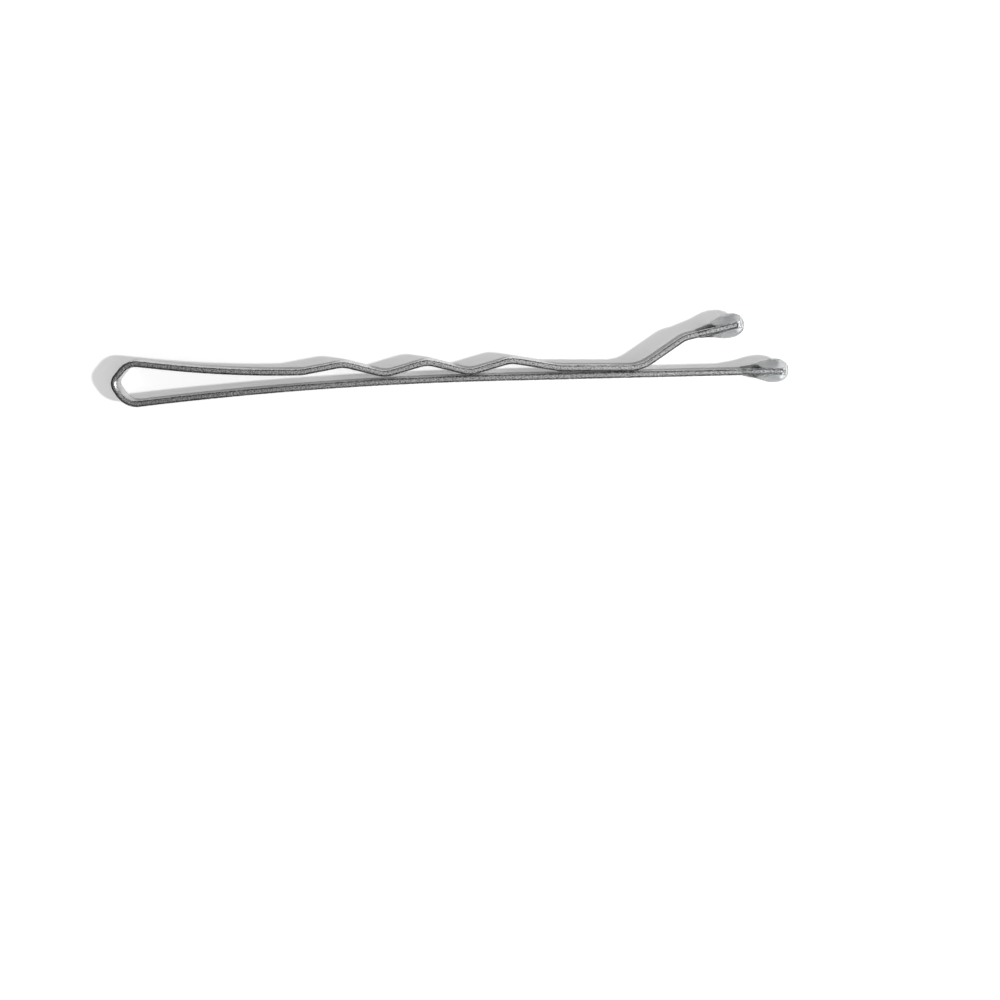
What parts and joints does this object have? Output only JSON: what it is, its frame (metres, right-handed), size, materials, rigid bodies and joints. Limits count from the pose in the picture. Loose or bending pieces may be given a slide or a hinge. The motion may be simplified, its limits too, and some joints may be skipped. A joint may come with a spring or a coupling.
{
  "type": "bobby pin",
  "caption": "Flat-wire bobby pin: a straight leg and a waved leg joined by a sprung loop, the waved leg's end lifted, clear resin drops on both tips.",
  "frame": {"origin": "middle of the pin's base: the centre of its length and breadth, at the lowest point of the tip drops", "axes": "+X along the straight leg towards the tips, +Y from the straight leg to the waved leg, +Z across the wire's width, up as the pin lies on its narrow edge"},
  "size_m": [0.05, 0.0058, 0.0018],
  "materials": {
    "plated_wire": "bright nickel-tone plating over drawn and rolled spring steel, fine draw lines along the wire",
    "tip_resin": "clear glossy resin drop"
  },
  "bodies": {
    "straight_leg_front": {"straight_leg_front": "plated_wire", "straight_tip_bead": "tip_resin"},
    "straight_leg_middle": {"straight_leg_middle": "plated_wire"},
    "straight_leg_rear": {"straight_leg_rear": "plated_wire"},
    "loop": {"loop_lower_bend": "plated_wire", "loop_back_bend": "plated_wire", "loop_upper_bend": "plated_wire"},
    "rear_run": {"rear_run": "plated_wire"},
    "rear_wave": {"rear_wave": "plated_wire"},
    "middle_wave": {"middle_wave": "plated_wire"},
    "front_wave": {"front_wave": "plated_wire"},
    "grip_run": {"grip_run": "plated_wire"},
    "lifted_end": {"lifted_end": "plated_wire", "lifted_tip_bead": "tip_resin"}
  },
  "joints": [
    {"name": "straight_leg_middle_flex", "type": "hinge", "parent": "straight_leg_front", "child": "straight_leg_middle", "pos_m": [0.00324, -0.00163, 0.00089], "axis": [0, 0, 1], "range_deg": [0, 2.69]},
    {"name": "straight_leg_rear_flex", "type": "hinge", "parent": "straight_leg_middle", "child": "straight_leg_rear", "pos_m": [-0.00994, -0.00195, 0.00089], "axis": [0, 0, 1], "range_deg": [0, 3.65]},
    {"name": "loop_flex", "type": "hinge", "parent": "straight_leg_rear", "child": "loop", "pos_m": [-0.02309, -0.00292, 0.00089], "axis": [0, 0, 1], "range_deg": [0, 3.2], "stiffness_Nm_per_rad": 0.005},
    {"name": "rear_run_flex", "type": "hinge", "parent": "loop", "child": "rear_run", "pos_m": [-0.02286, 0.00047, 0.00089], "axis": [0, 0, 1], "range_deg": [0, 3.58]},
    {"name": "rear_wave_flex", "type": "hinge", "parent": "rear_run", "child": "rear_wave", "pos_m": [-0.01124, -0.00039, 0.00089], "axis": [0, 0, 1], "range_deg": [0, 2.79]},
    {"name": "middle_wave_flex", "type": "hinge", "parent": "rear_wave", "child": "middle_wave", "pos_m": [-0.005, -0.00063, 0.00089], "axis": [0, 0, 1], "range_deg": [0, 1.5]},
    {"name": "front_wave_flex", "type": "hinge", "parent": "middle_wave", "child": "front_wave", "pos_m": [0.00123, -0.00063, 0.00089], "axis": [0, 0, 1], "range_deg": [0, 1.19]},
    {"name": "grip_run_flex", "type": "hinge", "parent": "front_wave", "child": "grip_run", "pos_m": [0.00807, -0.00054, 0.00089], "axis": [0, 0, 1], "range_deg": [0, 0.705]},
    {"name": "lifted_end_flex", "type": "hinge", "parent": "grip_run", "child": "lifted_end", "pos_m": [0.01294, -0.00065, 0.00089], "axis": [0, 0, 1], "range_deg": [0, 0.513]}
  ],
  "couplings": [
    {"joint": "straight_leg_middle_flex", "follows": "loop_flex", "ratio": 0.84},
    {"joint": "straight_leg_rear_flex", "follows": "loop_flex", "ratio": 1.14},
    {"joint": "rear_run_flex", "follows": "loop_flex", "ratio": 1.12},
    {"joint": "rear_wave_flex", "follows": "loop_flex", "ratio": 0.87},
    {"joint": "middle_wave_flex", "follows": "loop_flex", "ratio": 0.47},
    {"joint": "front_wave_flex", "follows": "loop_flex", "ratio": 0.37},
    {"joint": "grip_run_flex", "follows": "loop_flex", "ratio": 0.22},
    {"joint": "lifted_end_flex", "follows": "loop_flex", "ratio": 0.16}
  ]
}
